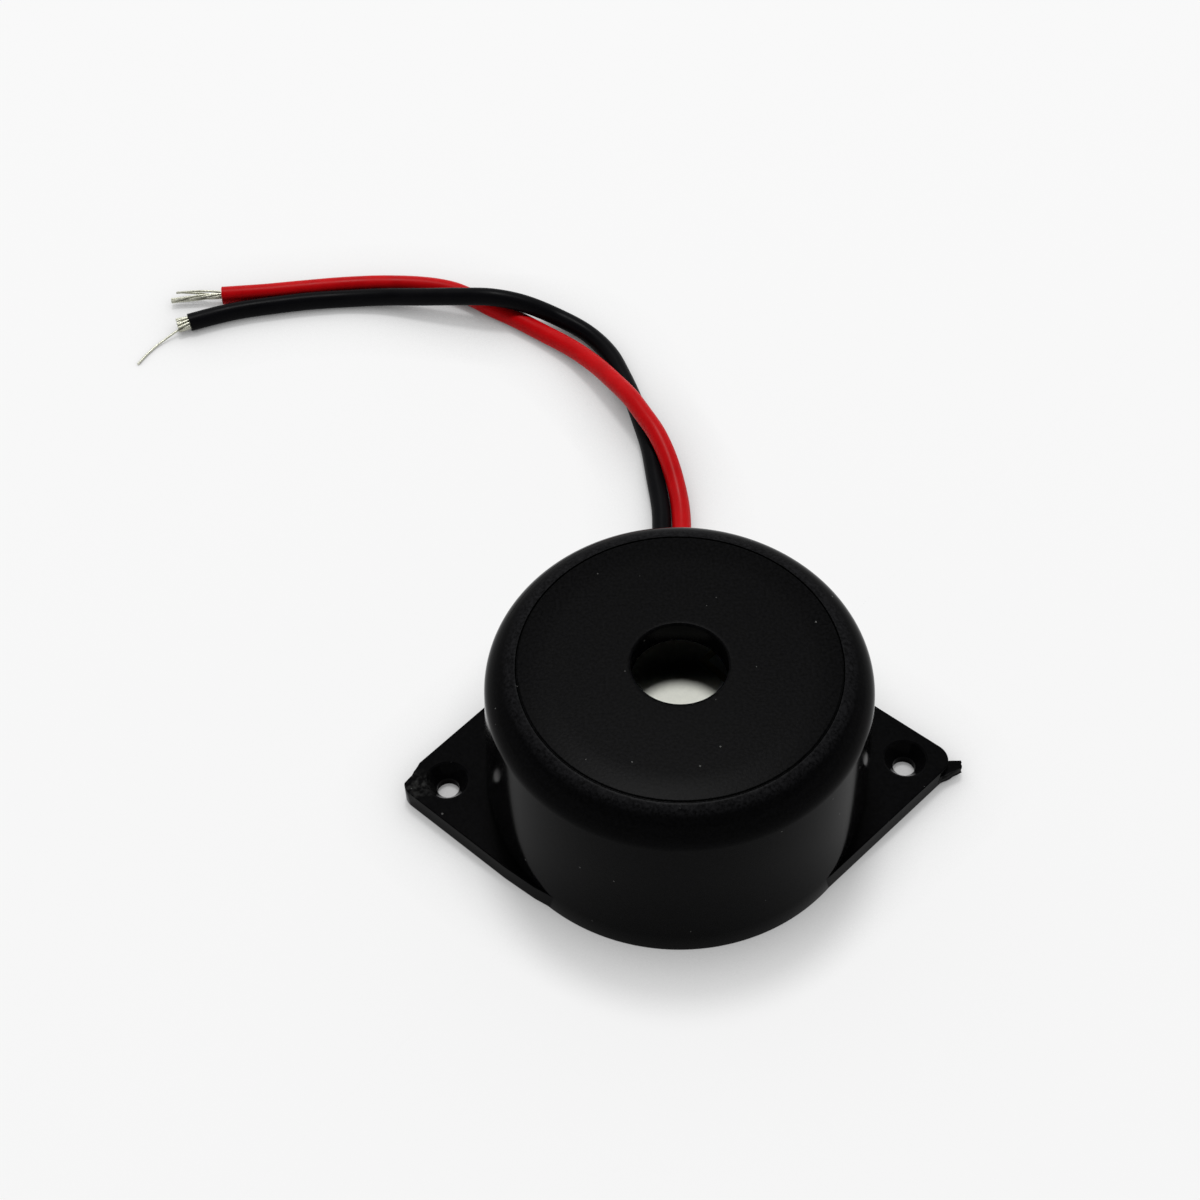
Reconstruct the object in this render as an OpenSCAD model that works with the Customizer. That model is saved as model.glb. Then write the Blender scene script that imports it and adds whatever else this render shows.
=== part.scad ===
// Piezo buzzer: a round housing with a let-in cap, two mounting ears and two flying leads.
// Millimetres. The origin is midway between the ear holes on the seating plane.
// +Z points up to the sound hole, the ears lie along X and the leads leave towards +Y.

/* [Housing] */
// Overall height, from the seating plane to the top face
body_h = 13.2; // [12.6:0.1:16]
// Outside diameter of the round wall, below its rounded upper edge
wall_d = 24.2; // [23.6:0.1:25.6]
// Thickness of the round wall, below its rounded upper edge
wall_t = 2; // [1.8:0.05:2.3]
// How far the wall widens on the radius down to its foot
draft = 0.4; // [0.1:0.05:0.6]
// Radius of the wall's rounded upper edge
rim_r = 2.35; // [2.3:0.05:2.6]
// Thickness of the ears
ear_t = 1.5; // [1:0.1:2]

/* [Cap] */
// Thickness of the cap's top
cap_t = 1.6; // [1.2:0.05:1.8]
// Diameter of the sound hole
sound_d = 6; // [4.5:0.1:8]
// Chamfer on the sound hole's edge
sound_edge = 0.15; // [0.05:0.05:0.3]
// Width of the groove round the cap
groove_w = 0.25; // [0.2:0.05:0.5]
// Depth of the groove
groove_h = 0.2; // [0.1:0.05:0.4]
// Thickness of the skirt that stands on the element's adhesive
skirt_t = 0.65; // [0.5:0.05:0.8]
// Play between the cap and the wall
cap_gap = 0.05; // [0.03:0.01:0.1]

/* [Ears] */
// Distance between the ear holes
hole_pitch = 30; // [29.6:0.1:34]
// Diameter of the ear holes
hole_d = 1.7; // [1.4:0.1:2.2]
// Diameter of the ear holes' countersinks at the upper face
sink_d = 2.8; // [2.4:0.1:3]
// Depth of the countersinks
sink_h = 0.75; // [0.5:0.05:0.9]
// Distance from an ear hole to the ear's tip
ear_end = 2.75; // [2.5:0.05:3.5]
// Radius of an ear's tip
tip_r = 1.2; // [0.8:0.05:1.6]
// Length of the broken runner stub past the right tip
stub_l = 0.95; // [0.4:0.05:1.5]
// Width of the stub
stub_w = 1; // [0.6:0.05:1.2]
// Thickness of the stub
stub_t = 0.9; // [0.4:0.05:1]
// Distance from the left tip's centre to its trimmed gate face
trim_at = 0.9; // [0.6:0.05:1.1]
// Direction that the trimmed gate face looks in, in degrees from +X
trim_angle = 149; // [120:1:170]

/* [Sounding element] */
// Depth of the element's seat below the top face
seat_drop = 4.8; // [4.4:0.1:5.2]
// Width of the ledge that carries the plate
ledge_w = 1.1; // [0.8:0.05:1.3]
// Thickness of the ledge
ledge_t = 1; // [0.8:0.05:1.3]
// Thickness of the metal plate
plate_t = 0.3; // [0.15:0.05:0.4]
// Play between the plate and its pocket
plate_gap = 0.1; // [0.05:0.01:0.15]
// Width of bare plate between the ceramic disc and the adhesive bead
bare_plate = 2.1; // [1.4:0.1:3]
// Thickness of the ceramic disc
ceramic_t = 0.25; // [0.15:0.05:0.4]
// Width of bare ceramic round the silver
bare_rim = 0.5; // [0.3:0.05:0.8]
// Thickness of the silver
silver_t = 0.05; // [0.03:0.01:0.1]
// Width of the feedback tongue in the silver
tongue_w = 2.2; // [1.6:0.1:3]
// Length of the feedback tongue
tongue_l = 2.8; // [2.4:0.1:3.2]
// Gap round the feedback tongue
tongue_gap = 0.5; // [0.3:0.05:0.8]
// Width of the adhesive bead on the plate
bead_w = 0.9; // [0.6:0.05:1]
// Height of the adhesive bead
bead_h = 0.5; // [0.3:0.05:0.7]

/* [Board] */
// Thickness of the circuit board
board_t = 1; // [0.8:0.1:1.2]
// Play between the board and the wall
board_gap = 0.15; // [0.1:0.01:0.25]
// Width of the ribs that stop the board
rib_w = 1.6; // [1:0.1:2.5]
// Thickness of the resin under the board
resin_t = 1.9; // [1.85:0.05:2.1]
// Depth of the resin's face inside the seating plane
resin_in = 0.3; // [0.2:0.05:0.4]
// Diameter of component legs
leg_d = 0.5; // [0.4:0.05:0.6]
// Play of a leg in its hole
leg_gap = 0.1; // [0.05:0.01:0.15]
// Diameter of a solder joint under the board
joint_d = 1.1; // [0.9:0.05:1.15]
// Height of a solder joint under the board
joint_h = 0.65; // [0.5:0.05:0.7]
// Diameter of a resistor's body
resistor_d = 1.7; // [1.4:0.1:2]
// Length of a resistor's body
resistor_l = 3.4; // [3:0.1:3.8]
// Distance between a resistor's legs
resistor_span = 6.4; // [5.6:0.1:7]
// Gap between the rear resistor's legs and the resistors at the sides
resistor_gap = 1.15; // [0.6:0.05:1.4]
// Width of the flat transistor's body
transistor_w = 4.1; // [3.8:0.1:4.6]
// Length of the transistor's body
transistor_l = 3.1; // [2.8:0.1:4]
// Thickness of the transistor's body
transistor_t = 1.55; // [1.4:0.05:2]
// Bevel along the transistor's face
transistor_edge = 0.45; // [0.2:0.05:0.6]
// Distance between the transistor's legs
leg_pitch = 1.27; // [1.2:0.01:1.6]

/* [Wires] */
// Outside diameter of a lead
lead_d = 1.3; // [1.1:0.05:1.35]
// Gap between the leads where they leave the housing
lead_gap = 0.2; // [0.1:0.05:0.4]
// Diameter of a lead's stranded core
core_d = 0.6; // [0.4:0.05:0.65]
// Play round the leads in the housing's notch
notch_gap = 0.15; // [0.1:0.05:0.25]
// Diameter of the jumper wires
jumper_d = 0.5; // [0.3:0.05:0.55]
// Distance between the jumper wires
jumper_pitch = 1.2; // [1.15:0.05:1.3]
// Depth of the jumper channel in the wall
channel_in = 0.7; // [0.65:0.05:1]

/* [Hidden] */
$fn = 96;

// Gap left between bonded round faces
bond = 0.03;
// Overlap that joins touching shapes into one
lap = 0.2;

wall_r = wall_d / 2;
bore_r = wall_r - wall_t;
foot_r = wall_r + draft;
rim_z = body_h - rim_r;
cap_under = body_h - cap_t;
cap_r = bore_r - cap_gap;
tip_x = hole_pitch / 2 + ear_end - tip_r;
// The ears' sides start a little inside the wall
ear_sink = 0.1;
root_r = foot_r - draft * ear_t / rim_z - ear_sink;

seat_z = body_h - seat_drop;
plate_r = bore_r - plate_gap;
plate_top = seat_z + plate_t;
bead_in = plate_r - bead_w;
skirt_z = plate_top + bead_h;
ceramic_r = bead_in - bare_plate;
ceramic_top = plate_top + ceramic_t;
silver_r = ceramic_r - bare_rim;
silver_top = ceramic_top + silver_t;

board_bottom = resin_in + resin_t;
board_top = board_bottom + board_t;
board_r = bore_r - board_gap;

// Joints on the element: height, and half width at foot and top
pad_h = 0.4;
pad_foot = 0.55;
pad_top = 0.35;
// Joints on the silver lie inside its edge, to either side
pad_inset = 1.2;
main_angle = 140;
feedback_angle = 40;
main_pad = [silver_r - pad_inset, main_angle];
feedback_pad = [silver_r - pad_inset, feedback_angle];
plate_pad_y = (ceramic_r + bead_in) / 2;

// Places on the board: what lies along its edge is set in from that edge, and the rest from its neighbour
tail_in = 1.75;
jumper_in = 3.95;
transistor_in = 3.75;
rear_step = 2.6;
tail_y = board_r - tail_in;
jumper_y = board_r - jumper_in;
rear_resistor_y = jumper_y - rear_step;
side_resistor_x = (resistor_span + resistor_d) / 2 + resistor_gap;
transistor_y = transistor_in - board_r;
// Length of the transistor's legs before they turn down
leg_reach = 1.2;
transistor_leg_y = transistor_y + transistor_l + leg_reach;
// Waist of a resistor's body, as a share of its diameter
waist_share = 0.86;
// Solder left round a core at a joint's tip
joint_skin = 0.05;

// Jumper wires pass the plate's edge in a channel and run under the cap
channel_side = 0.45;
channel_drop = 1.4;
jumper_bend = 0.5;
bead_room = 0.2;
channel_y = bore_r + channel_in;
channel_w = 2 * (jumper_pitch + channel_side) + jumper_d;
channel_z = seat_z - ledge_t - channel_drop;
pass_y = (plate_r + channel_y) / 2;
over_z = (plate_top + cap_under) / 2;

// Leads lie side by side in the resin and leave by a notch in the foot
core_rise = 0.3;
lead_in = 1;
lead_pitch = lead_d + lead_gap;
lead_z = board_bottom - joint_h - core_rise;
lead_in_y = bore_r - lead_in;
notch_w = lead_pitch + lead_d + 2 * notch_gap;
notch_top = lead_z + lead_d / 2 + notch_gap;
// The resin stops short of the wall's outside
resin_short = 0.25;
resin_end = foot_r - resin_short;

// Heights of a lead that lies on the table, and of one that crosses it
lie_z = lead_d / 2;
cross_gap = 0.15;
cross_z = lie_z + lead_d + cross_gap;
// Routes of the leads, from the resin to the ends of their insulation
red_route = [
    [lead_pitch / 2, lead_in_y, lead_z], [lead_pitch / 2, 11, lead_z], [lead_pitch / 2, 13, lead_z],
    [1, 15.5, 0.95], [1.4, 18, 0.7], [1.8, 20.5, lie_z], [1.9, 22.8, 0.75], [1.8, 24.8, 1],
    [1.4, 27, 1.45], [0.8, 29.2, 1.9], [0.1, 31.3, cross_z], [-0.8, 33.2, cross_z], [-2, 35.2, 1.8],
    [-3.4, 37.2, 1.35], [-5.2, 39.4, 0.9], [-7.5, 41.7, lie_z], [-9.5, 43.3, lie_z],
    [-11.2, 44.5, lie_z], [-12.7, 45.8, lie_z], [-14.3, 46.9, lie_z], [-16.6, 47.7, lie_z],
    [-19.7, 48, lie_z], [-22.8, 47.8, lie_z], [-26, 47.5, lie_z], [-29, 47.3, lie_z],
    [-32.4, 47.2, lie_z]];
black_route = [
    [-lead_pitch / 2, lead_in_y, lead_z], [-lead_pitch / 2, 11, lead_z], [-lead_pitch / 2, 13, lead_z],
    [-0.5, 15.5, 0.95], [-0.1, 18, 0.7], [0.2, 20.5, lie_z], [0.4, 23, lie_z], [0.3, 25.9, lie_z],
    [0.2, 28.9, lie_z], [-0.1, 31.5, lie_z], [-0.5, 34, lie_z], [-1.1, 36.5, lie_z], [-2, 39.2, lie_z],
    [-3.7, 41.6, 0.7], [-6, 43.3, 1], [-8.6, 44.2, 1.7], [-11.2, 44.5, cross_z], [-13.8, 44.7, 1.9],
    [-16.6, 45.1, 1.4], [-19.6, 45.7, 0.9], [-22.6, 46, lie_z], [-25.6, 45.9, lie_z],
    [-28.4, 45.6, lie_z], [-30.8, 45.2, lie_z], [-32.8, 44.7, lie_z], [-34.8, 44.1, lie_z]];
red_strands = [[-32.4, 47.2, lie_z], [-34.1, 47.15, lie_z], [-36.4, 47, 0.45]];
black_strands = [[-34.8, 44.1, lie_z], [-35.8, 43.8, lie_z]];

black_plastic = [0.07, 0.07, 0.075];
resin_black = [0.04, 0.04, 0.045];
silver_grey = [0.86, 0.86, 0.81];
nickel = [0.72, 0.71, 0.66];
ceramic_cream = [0.83, 0.8, 0.7];
board_brown = [0.62, 0.47, 0.27];
solder_grey = [0.7, 0.71, 0.73];
resistor_tan = [0.79, 0.68, 0.5];
clear_silicone = [0.85, 0.85, 0.82];
wire_white = [0.88, 0.87, 0.84];
wire_blue = [0.16, 0.3, 0.62];
wire_red = [0.72, 0.06, 0.08];
wire_black = [0.06, 0.06, 0.07];

function unit(v) = v / norm(v);
function along(p, i) =
    i == 0 ? unit(p[1] - p[0]) :
    i == len(p) - 1 ? unit(p[i] - p[i - 1]) :
    unit(unit(p[i + 1] - p[i]) + unit(p[i] - p[i - 1]));
function ring(p, i, r, sides, across) =
    let (t = along(p, i), u = unit(cross(across, t)), v = cross(t, u))
    [for (k = [0 : sides - 1]) p[i] + r * (u * cos(360 * k / sides) + v * sin(360 * k / sides))];
function polar(at, z) = [at[0] * cos(at[1]), at[0] * sin(at[1]), z];

// A round wire of diameter d swept along a route. The across vector is never along the route.
module wire(route, d, across = [0, 0, 1], sides = 8) {
    last = len(route) - 1;
    polyhedron(
        points = [for (i = [0 : last]) each ring(route, i, d / 2, sides, across)],
        faces = concat(
            [[for (k = [0 : sides - 1]) k]],
            [[for (k = [sides - 1 : -1 : 0]) last * sides + k]],
            [for (i = [0 : last - 1], k = [0 : sides - 1])
                [i * sides + k, (i + 1) * sides + k, (i + 1) * sides + (k + 1) % sides]],
            [for (i = [0 : last - 1], k = [0 : sides - 1])
                [i * sides + k, (i + 1) * sides + (k + 1) % sides, i * sides + (k + 1) % sides]]));
}

// Half section of the cap: a flat top with a step for the groove, a skirt and the sound hole
module cap_section() {
    difference() {
        union() {
            translate([0, cap_under]) square([cap_r, cap_t - groove_h]);
            translate([0, cap_under]) square([bore_r - groove_w, cap_t]);
            translate([cap_r - skirt_t, skirt_z]) square([skirt_t, cap_under - skirt_z + lap]);
        }
        translate([0, skirt_z]) square([sound_d / 2, body_h - skirt_z + lap]);
        polygon([[0, body_h - sound_edge - sound_d / 2], [sound_d / 2 + sound_edge + lap, body_h + lap],
                 [0, body_h + lap]]);
    }
}

// The cap lies in the wall's upper end, and its skirt is open where the jumpers pass
module top_cap() {
    color(black_plastic) difference() {
        rotate_extrude() cap_section();
        translate([-channel_w / 2, 0, skirt_z - lap]) cube([channel_w, wall_r, cap_under - skirt_z + lap]);
    }
}

// Half section of the round wall: its drafted outside, rounded upper edge and plate ledge
module wall_section() {
    polygon([[bore_r, 0], [foot_r, 0], [wall_r, rim_z], [bore_r, rim_z]]);
    intersection() {
        translate([bore_r, rim_z - lap]) square([wall_t, rim_r + lap]);
        translate([wall_r - rim_r, rim_z]) circle(rim_r);
    }
    translate([bore_r - ledge_w, seat_z - ledge_t]) square([ledge_w + lap, ledge_t]);
}

// Outline of the ears: round tips, with sides that run into the wall along its tangents
module ear_outline() {
    slope = acos((root_r - tip_r) / tip_x);
    for (side = [-1, 1]) {
        root = root_r * [side * cos(slope), sin(slope)];
        end = [side * (tip_x + tip_r * cos(slope)), tip_r * sin(slope)];
        translate([side * tip_x, 0]) circle(tip_r);
        polygon([root, end, [end[0], -end[1]], [root[0], -root[1]]]);
    }
}

// Ragged stub where the runner broke off the right ear
module runner_stub() {
    root = -tip_r / 2;
    translate([tip_x + tip_r, 0, (ear_t - stub_t) / 2]) linear_extrude(stub_t)
        polygon([[root, stub_w / 4], [stub_l, 0], [stub_l, -stub_w / 2], [stub_l / 3, -stub_w],
                 [root, -stub_w]]);
}

module base_housing() {
    color(black_plastic) difference() {
        union() {
            rotate_extrude() wall_section();
            difference() {
                linear_extrude(ear_t) ear_outline();
                translate([0, 0, -lap]) cylinder(h = ear_t + 2 * lap, r = bore_r);
            }
            for (turn = [45 : 90 : 315]) rotate(turn)
                translate([bore_r - ledge_w, -rib_w / 2, board_top])
                    cube([ledge_w + lap, rib_w, seat_z - ledge_t - board_top + lap]);
            runner_stub();
        }
        for (side = [-1, 1]) translate([side * hole_pitch / 2, 0, 0]) {
            translate([0, 0, -lap]) cylinder(h = ear_t + 2 * lap, d = hole_d);
            translate([0, 0, ear_t - sink_h]) cylinder(h = 2 * sink_h, d1 = hole_d, d2 = 2 * sink_d - hole_d);
        }
        translate([-notch_w / 2, bore_r - wall_t, -lap])
            cube([notch_w, foot_r - bore_r + 2 * wall_t, notch_top + lap]);
        translate([-channel_w / 2, bore_r - 2 * ledge_w, channel_z])
            cube([channel_w, channel_in + 2 * ledge_w, cap_under - channel_z]);
        translate([-tip_x, 0, -lap]) rotate(trim_angle) translate([trim_at, -2 * tip_r, 0])
            cube([2 * tip_r, 4 * tip_r, ear_t + 2 * lap]);
    }
}

module piezo_plate() {
    color(nickel) translate([0, 0, seat_z]) cylinder(h = plate_t, r = plate_r);
}

module piezo_ceramic() {
    color(ceramic_cream) translate([0, 0, plate_top]) cylinder(h = ceramic_t, r = ceramic_r);
}

// Strip at the silver's edge, widened all round by a margin
module tongue_strip(margin) {
    rotate(feedback_angle) translate([silver_r - tongue_l - margin, -tongue_w / 2 - margin])
        square([tongue_l + margin + lap, tongue_w + 2 * margin]);
}

module silver_electrode() {
    color(silver_grey) translate([0, 0, ceramic_top]) linear_extrude(silver_t) {
        difference() {
            circle(silver_r);
            tongue_strip(tongue_gap);
        }
        intersection() {
            circle(silver_r);
            tongue_strip(0);
        }
    }
}

module adhesive_ring() {
    color(clear_silicone) translate([0, 0, plate_top]) rotate_extrude()
        polygon([[bead_in, 0], [bore_r - bond, 0], [bore_r - bond, bead_h], [bore_r - bead_h / 2, bead_h]]);
}

// Legs through the board, as places in plan
transistor_legs = [for (k = [-1 : 1]) [k * leg_pitch, transistor_leg_y]];
side_legs = [for (side = [-1, 1], end = [-1, 1]) [side * side_resistor_x, end * resistor_span / 2]];
rear_legs = [for (end = [-1, 1]) [end * resistor_span / 2, rear_resistor_y]];
jumper_legs = [for (k = [-1 : 1]) [k * jumper_pitch, jumper_y]];
lead_tails = [for (side = [-1, 1]) [side * lead_pitch / 2, tail_y]];
board_holes = concat(transistor_legs, side_legs, rear_legs, jumper_legs, lead_tails);

module circuit_board() {
    color(board_brown) translate([0, 0, board_bottom]) difference() {
        cylinder(h = board_t, r = board_r);
        for (at = board_holes) translate([at[0], at[1], -lap])
            cylinder(h = board_t + 2 * lap, d = max(leg_d, jumper_d) + 2 * leg_gap);
    }
}

// Cones of solder under the board, grown by a margin
module board_joints(margin) {
    for (at = board_holes) translate([at[0], at[1], board_bottom - joint_h - margin])
        cylinder(h = joint_h + margin, r1 = core_d / 2 + joint_skin + margin, r2 = joint_d / 2 + margin);
}

module board_solder() {
    color(solder_grey) board_joints(0);
}

// A leg that leaves a body sideways at a height and turns down through the board
module bent_leg(reach, height) {
    rotate([0, 90, 0]) cylinder(h = reach, d = leg_d);
    translate([reach, 0, 0]) sphere(d = leg_d);
    translate([reach, 0, board_bottom - height]) cylinder(h = height - board_bottom, d = leg_d);
}

// A resistor lying along X on the board
module resistor() {
    axis_z = board_top + resistor_d / 2 + bond;
    cap_l = resistor_l / 4;
    translate([0, 0, axis_z]) {
        rotate([0, 90, 0]) cylinder(h = resistor_l, d = resistor_d * waist_share, center = true);
        for (side = [0, 180]) rotate(side) {
            translate([resistor_l / 2 - cap_l, 0, 0]) rotate([0, 90, 0]) cylinder(h = cap_l, d = resistor_d);
            translate([resistor_l / 2 - lap, 0, 0])
                bent_leg((resistor_span - resistor_l) / 2 + lap, axis_z);
        }
    }
}

module load_resistor() {
    color(resistor_tan) translate([-side_resistor_x, 0, 0]) rotate(90) resistor();
}

module bias_resistor() {
    color(resistor_tan) translate([side_resistor_x, 0, 0]) rotate(90) resistor();
}

module feedback_resistor() {
    color(resistor_tan) translate([0, rear_resistor_y, 0]) resistor();
}

// Half of the transistor's end face, with its bevelled edge
transistor_half = [[0, 0], [transistor_w / 2, 0], [transistor_w / 2, transistor_t - transistor_edge],
                   [transistor_w / 2 - transistor_edge, transistor_t], [0, transistor_t]];

// A flat transistor lying on its back, with its legs bent down through the board
module transistor() {
    leg_z = board_top + transistor_t / 2;
    body_end = transistor_y + transistor_l;
    color(black_plastic) {
        translate([0, body_end, board_top]) rotate([90, 0, 0]) linear_extrude(transistor_l)
            for (side = [0, 1]) mirror([side, 0]) polygon(transistor_half);
        for (at = transistor_legs) translate([at[0], body_end - lap, leg_z]) rotate(90)
            bent_leg(transistor_leg_y - body_end + lap, leg_z);
    }
}

// The shared first part of a jumper: up from the board, past the plate's edge and in under the cap
function jumper_rise(x) = [
    [x, jumper_y, board_bottom], [x, jumper_y, board_top + jumper_bend],
    [x, jumper_y + jumper_bend, board_top + 2 * jumper_bend],
    [x, pass_y - jumper_bend, seat_z - 2 * jumper_bend], [x, pass_y, seat_z - jumper_bend],
    [x, pass_y, plate_top + bead_h + bead_room],
    [x, pass_y - jumper_bend, over_z - jumper_bend / 2], [x, pass_y - 2 * jumper_bend, over_z]];
// The end of a jumper: over its solder joint and straight down onto it
function jumper_drop(at) =
    let (rise = over_z - at[2]) [at + [0, jumper_bend, rise], at + [0, 0, rise / 2], at];

plate_end = [0, plate_pad_y, plate_top + pad_h];
main_end = polar(main_pad, silver_top + pad_h);
feedback_end = polar(feedback_pad, silver_top + pad_h);

module plate_jumper() {
    color(wire_black) wire(concat(jumper_rise(0), jumper_drop(plate_end)), jumper_d, [1, 0, 0]);
}

// A jumper to the silver on one side
module silver_jumper(side, end) {
    wire(concat(jumper_rise(side * jumper_pitch), jumper_drop(end)), jumper_d, [1, 0, 0]);
}

module main_jumper() {
    color(wire_white) silver_jumper(-1, main_end);
}

module feedback_jumper() {
    color(wire_blue) silver_jumper(1, feedback_end);
}

module element_solder() {
    color(solder_grey) for (top = [plate_end, main_end, feedback_end])
        translate(top - [0, 0, pad_h]) cylinder(h = pad_h, r1 = pad_foot, r2 = pad_top);
}

// A lead's core, from the end of the insulation up to its joint under the board
module core_tail(side, margin = 0) {
    d = core_d + 2 * margin;
    translate([side * lead_pitch / 2, tail_y, lead_z]) {
        rotate([-90, 0, 0]) cylinder(h = lead_in_y - tail_y, d = d);
        sphere(d = d);
        cylinder(h = board_bottom - joint_h - lead_z, d = d);
    }
}

module potting() {
    color(resin_black) difference() {
        union() {
            translate([0, 0, resin_in]) cylinder(h = resin_t, r = bore_r - bond);
            translate([bond - notch_w / 2, 0, resin_in])
                cube([notch_w - 2 * bond, resin_end, notch_top - resin_in - bond]);
        }
        for (side = [-1, 1]) {
            translate([side * lead_pitch / 2, lead_in_y - bond, lead_z]) rotate([-90, 0, 0])
                cylinder(h = foot_r, d = lead_d + 2 * bond);
            core_tail(side, bond);
        }
        board_joints(bond);
    }
}

module red_lead() {
    color(wire_red) wire(red_route, lead_d);
}

module black_lead() {
    color(wire_black) wire(black_route, lead_d);
}

module red_conductor() {
    color(solder_grey) {
        core_tail(1);
        wire(red_strands, core_d);
    }
}

module black_conductor() {
    color(solder_grey) {
        core_tail(-1);
        wire(black_strands, core_d);
    }
}

top_cap();
base_housing();
piezo_plate();
piezo_ceramic();
silver_electrode();
adhesive_ring();
circuit_board();
transistor();
load_resistor();
bias_resistor();
feedback_resistor();
main_jumper();
plate_jumper();
feedback_jumper();
element_solder();
board_solder();
potting();
red_lead();
black_lead();
red_conductor();
black_conductor();
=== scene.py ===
"""Dresses the buzzer's CAD frame: moulded cap and housing, leads with bare strands, resin, inner finishes."""

import math

import bmesh
import bpy
from bpy.props import FloatProperty, FloatVectorProperty, IntProperty, PointerProperty
from mathutils import Matrix, Vector


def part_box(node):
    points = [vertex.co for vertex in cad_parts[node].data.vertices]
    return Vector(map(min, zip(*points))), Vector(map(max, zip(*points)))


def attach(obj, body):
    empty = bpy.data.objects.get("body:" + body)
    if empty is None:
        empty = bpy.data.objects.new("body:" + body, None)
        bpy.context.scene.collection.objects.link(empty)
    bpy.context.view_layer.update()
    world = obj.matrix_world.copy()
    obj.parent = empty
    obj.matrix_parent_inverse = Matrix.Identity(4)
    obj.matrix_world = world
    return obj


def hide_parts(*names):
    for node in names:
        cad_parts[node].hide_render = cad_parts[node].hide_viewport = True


bl_info = {
    "name": "Buzzer dressing",
    "version": (1, 0, 0),
    "blender": (4, 5, 0),
    "location": "3D View > Sidebar > Buzzer",
    "description": "Models the visible pieces of a small buzzer over its CAD frame",
    "category": "Object",
}

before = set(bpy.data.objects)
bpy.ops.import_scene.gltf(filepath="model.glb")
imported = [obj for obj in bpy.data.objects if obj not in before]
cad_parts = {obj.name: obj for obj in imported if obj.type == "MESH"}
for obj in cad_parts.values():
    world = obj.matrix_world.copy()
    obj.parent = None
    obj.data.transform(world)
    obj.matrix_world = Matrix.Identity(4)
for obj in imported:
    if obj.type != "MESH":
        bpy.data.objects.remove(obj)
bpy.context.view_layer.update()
MM = 0.001
# Points of a mesh closer than this are one
WELD = 0.0005 * MM

# Routes of the leads in millimetres, from the resin to the end of the insulation
RED_ROUTE = [
    (0.75, 9.1, 1.25), (0.75, 11, 1.25), (0.75, 13, 1.25), (1, 15.5, 1.01), (1.4, 18, 0.76),
    (1.8, 20.5, 0.71), (1.9, 22.8, 0.81), (1.73, 24.8, 1.07), (1.29, 27, 1.61), (0.59, 29.1, 2.05),
    (-0.28, 31, 2.16), (-1.15, 32.8, 2.16), (-2.26, 34.8, 1.86), (-3.52, 37, 1.41), (-5.24, 39.3, 0.96),
    (-7.6, 41.5, 0.71), (-9.6, 43.1, 0.71), (-11.3, 44.3, 0.71), (-12.8, 45.5, 0.71), (-14.4, 46.5, 0.71),
    (-16.6, 47.15, 0.71), (-19.7, 47.5, 0.71), (-22.8, 47.52, 0.71), (-26, 47.34, 0.71), (-29, 47.12, 0.71),
    (-32.4, 47, 0.71)]
BLACK_ROUTE = [
    (-0.75, 9.1, 1.25), (-0.75, 11, 1.25), (-0.75, 13, 1.25), (-0.5, 15.5, 1.01), (0, 18, 0.76),
    (0.37, 20.5, 0.71), (0.5, 23, 0.71), (0.3, 25.9, 0.71), (0.07, 28.9, 0.71), (-0.36, 31.4, 0.71),
    (-0.86, 33.85, 0.71), (-1.52, 36.25, 0.71), (-2.42, 38.8, 0.71), (-4, 41.05, 0.76), (-6.24, 42.65, 1.06),
    (-8.76, 43.45, 1.86), (-11.2, 43.9, 2.26), (-13.8, 44.45, 1.96), (-16.6, 45.1, 1.46), (-19.6, 45.8, 0.96),
    (-22.6, 46.05, 0.71), (-25.6, 45.95, 0.71), (-28.4, 45.65, 0.71), (-30.8, 45.3, 0.71),
    (-32.8, 44.8, 0.71), (-34.8, 44.15, 0.71)]

# Bare ends of the leads and the stray strand of the black one, in millimetres
RED_END = [(-31.9, 47.02, 0.71), (-32.4, 47, 0.71), (-34.1, 46.95, 0.68), (-36.4, 46.85, 0.51)]
RED_LOOSE = [(-31.9, 47.12, 0.81), (-32.4, 47.14, 0.81), (-34.2, 47.4, 0.78), (-36, 47.6, 0.66)]
BLACK_END = [(-34.3, 44.31, 0.71), (-34.8, 44.15, 0.71), (-35.7, 43.87, 0.71)]
STRAY = [
    (-34.3, 44.2, 0.56), (-34.8, 44.02, 0.56), (-35.7, 43.6, 0.44), (-36.6, 42.95, 0.25),
    (-37.4, 42.25, 0.12), (-38.05, 41.4, 0.09), (-38.6, 40.5, 0.09)]

# Soldered ends of the leads: distance from the middle, and (Y, Z) course up to the board, in millimetres
TAIL_SIDE = 0.75
TAIL = [(9.08, 1.25), (8.7, 1.25), (8.3, 1.26), (8.2, 1.4), (8.2, 1.54)]

# Points of the ears' sides near the wall, in millimetres
EAR_SIDES = [(-11.42, -6.72), (-9.6, -8.3), (-11.42, 6.72), (-9.6, 8.3), (10.25, -7.42), (9.2, -8.45)]

# Middle of the wear on the left ear's tip, and heights between which the upper grain and its painted sheen
# set in, in millimetres
WORN_TIP = (-16.9, -0.3, 1.4)
GRAIN_AND_SHEEN_HEIGHTS = (12.85, 13.1)

# Colours of worn plastic and of dust
WORN = (0.03, 0.03, 0.029, 1)
DUST = (0.16, 0.16, 0.155, 1)


def length(name, description, default):
    return FloatProperty(name=name, description=description, default=default, min=0.0, unit="LENGTH",
                         precision=5)


def angle(name, description, degrees):
    return FloatProperty(name=name, description=description, default=math.radians(degrees), subtype="ANGLE")


def tint(name, description, default):
    return FloatVectorProperty(name=name, description=description, default=default, min=0.0, max=1.0, size=3,
                               subtype="COLOR")


def share(name, description, default):
    return FloatProperty(name=name, description=description, default=default, min=0.0, max=1.0,
                         subtype="FACTOR")


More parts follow.
